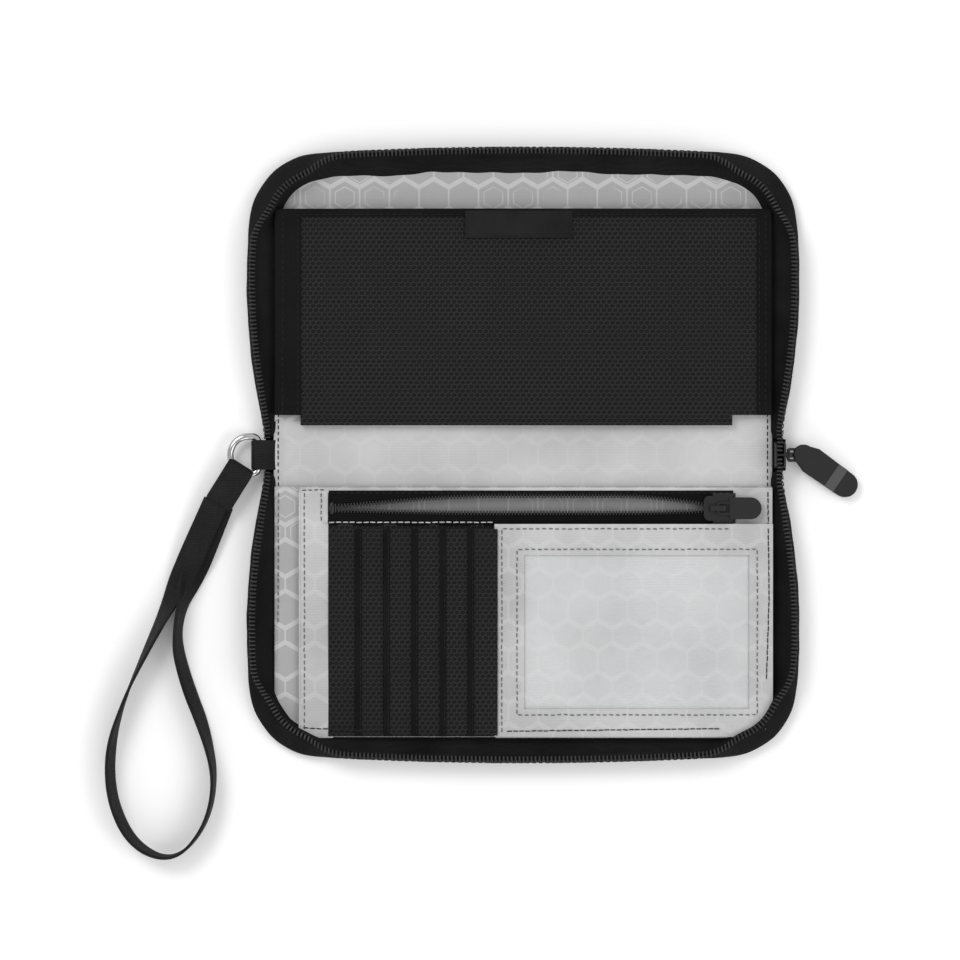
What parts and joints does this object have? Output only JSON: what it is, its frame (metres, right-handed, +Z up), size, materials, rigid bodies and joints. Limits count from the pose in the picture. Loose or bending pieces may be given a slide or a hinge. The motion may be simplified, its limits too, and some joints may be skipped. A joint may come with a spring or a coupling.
{
  "type": "travel document organizer",
  "caption": "Zip-around folding organizer for travel papers, open flat, with document pocket, zipped pocket, card slots, clear window and wrist loop.",
  "frame": {"origin": "centre of the spine's underside, where the open case rests on the table", "axes": "+X along the spine towards the outer zip's pull, +Y across the spine towards the front cover, +Z up out of the open case"},
  "size_m": [0.2672, 0.2535, 0.0101],
  "materials": {
    "outer_nylon": "woven matte nylon",
    "stiffener": "sheet plastic, hidden",
    "spine_nylon": "light grey woven nylon",
    "hex_lining": "grey ripstop with a hexagon print",
    "panel_nylon": "light grey woven nylon",
    "id_backing": "grey ripstop with a hexagon print",
    "window_pvc": "clear flexible PVC film",
    "gusset_nylon": "woven matte nylon",
    "zip_tape": "woven zip tape",
    "zip_teeth": "black nylon coil",
    "black_mesh": "black diamond mesh",
    "hem_binding": "smooth black binding",
    "label": "blank woven label",
    "webbing": "ribbed black webbing",
    "black_metal": "satin black lacquer",
    "pull_rubber": "soft moulded rubber",
    "pull_band": "lighter inlaid band",
    "ring_steel": "polished steel"
  },
  "bodies": {
    "spine": {"spine_cover": "outer_nylon", "spine_board": "stiffener", "spine_lining": "spine_nylon", "strap_tab": "webbing", "spine_end_tab": "zip_tape", "main_slider": "black_metal"},
    "back_half": {"back_cover": "outer_nylon", "back_board": "stiffener", "back_lining": "hex_lining", "back_gusset": "gusset_nylon", "back_zip_tape": "zip_tape", "back_zip_teeth": "zip_teeth", "slip_pocket": "hex_lining", "organizer_panel": "panel_nylon", "inner_zip_tape_upper": "zip_tape", "inner_zip_tape_lower": "zip_tape", "inner_zip_teeth_upper": "zip_teeth", "inner_zip_teeth_lower": "zip_teeth", "card_base_panel": "black_mesh", "card_slot_1": "black_mesh", "card_slot_2": "black_mesh", "card_slot_3": "black_mesh", "card_slot_4": "black_mesh", "card_slot_5": "black_mesh", "id_backing": "id_backing", "id_window": "window_pvc", "id_frame": "panel_nylon"},
    "front_half": {"front_cover": "outer_nylon", "front_board": "stiffener", "front_lining": "hex_lining", "front_gusset": "gusset_nylon", "front_zip_tape": "zip_tape", "front_zip_teeth": "zip_teeth", "document_pocket": "black_mesh", "pocket_hem_left": "hem_binding", "pocket_hem_right": "hem_binding", "label_patch": "label"},
    "inner_slider": {"inner_slider": "black_metal"},
    "inner_pull": {"inner_pull_link": "black_metal", "inner_pull_tab": "black_metal"},
    "main_pull_link": {"main_pull_link": "black_metal"},
    "main_pull": {"main_pull_tab": "pull_rubber", "main_pull_band": "pull_band"},
    "d_ring": {"d_ring": "ring_steel"},
    "wrist_strap": {"strap_keeper": "webbing", "wrist_strap": "webbing"}
  },
  "joints": [
    {"name": "back_fold", "type": "hinge", "parent": "spine", "child": "back_half", "pos_m": [0, -0.009, 0.001], "axis": [-1, 0, 0], "range_deg": [0, 90]},
    {"name": "front_fold", "type": "hinge", "parent": "spine", "child": "front_half", "pos_m": [0, 0.009, 0.001], "axis": [1, 0, 0], "range_deg": [0, 90]},
    {"name": "inner_zip_travel", "type": "slide", "parent": "back_half", "child": "inner_slider", "axis": [-1, 0, 0], "range_m": [0, 0.131]},
    {"name": "inner_pull_flip", "type": "hinge", "parent": "inner_slider", "child": "inner_pull", "pos_m": [0.0693, -0.019, 0.0083], "axis": [0, -1, 0], "range_deg": [0, 172]},
    {"name": "main_pull_tilt", "type": "hinge", "parent": "spine", "child": "main_pull_link", "pos_m": [0.0944, 0, 0.0059], "axis": [0, -1, 0], "range_deg": [0, 70]},
    {"name": "main_pull_swing", "type": "hinge", "parent": "main_pull_link", "child": "main_pull", "pos_m": [0.09993, 0, 0.00502], "axis": [0.1564, 0, 0.9877], "range_deg": [-10, 80]},
    {"name": "ring_lift", "type": "hinge", "parent": "spine", "child": "d_ring", "pos_m": [-0.0945, 0, 0.004], "axis": [0, 1, 0], "range_deg": [0, 60]},
    {"name": "strap_swing", "type": "hinge", "parent": "d_ring", "child": "wrist_strap", "pos_m": [-0.0978, 0, 0.004], "axis": [0, 0, 1], "range_deg": [-110, 0]}
  ]
}
